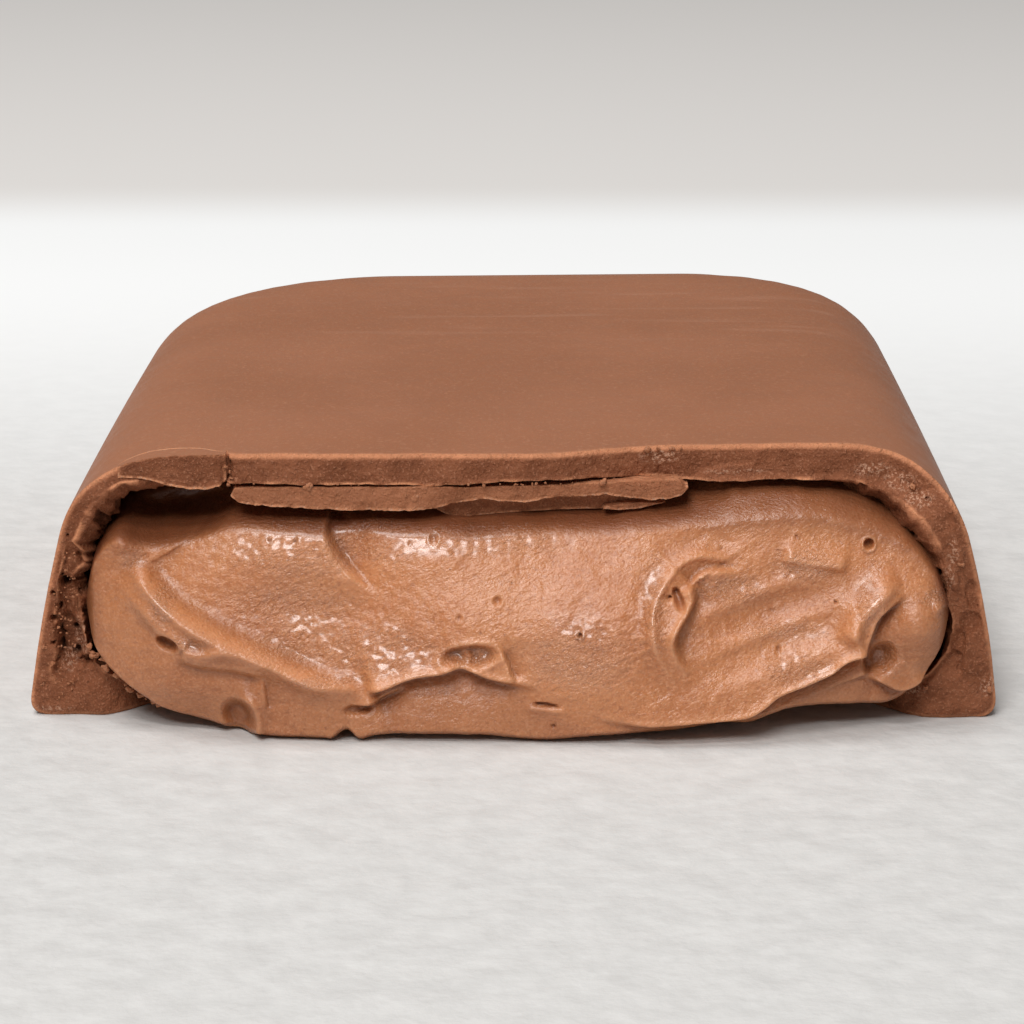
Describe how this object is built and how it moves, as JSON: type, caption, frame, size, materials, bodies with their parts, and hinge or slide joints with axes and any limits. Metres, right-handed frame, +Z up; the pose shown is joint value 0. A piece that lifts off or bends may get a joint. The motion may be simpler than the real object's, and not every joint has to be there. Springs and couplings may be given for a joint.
{
  "type": "filled chocolate bar piece",
  "caption": "End piece of a milk chocolate bar with a soft creamy filling, snapped across, with a rounded moulded end and a cracked upper edge.",
  "frame": {"origin": "middle of the whole piece over its flat base, at the base's height", "axes": "+Z up from the flat base, +Y from the snapped face to the moulded end, +X to the right when the snapped face is seen from the front"},
  "size_m": [0.038, 0.0432, 0.0109],
  "materials": {
    "milk_chocolate": "satin moulded milk chocolate, stands in for food",
    "broken_chocolate": "dull broken chocolate, stands in for food",
    "filling": "soft moist cream filling with an uneven gloss, stands in for food"
  },
  "bodies": {
    "root": {"shell": "milk_chocolate", "edge_chip": "milk_chocolate", "inner_slab": "broken_chocolate", "filling": "filling"}
  },
  "joints": []
}
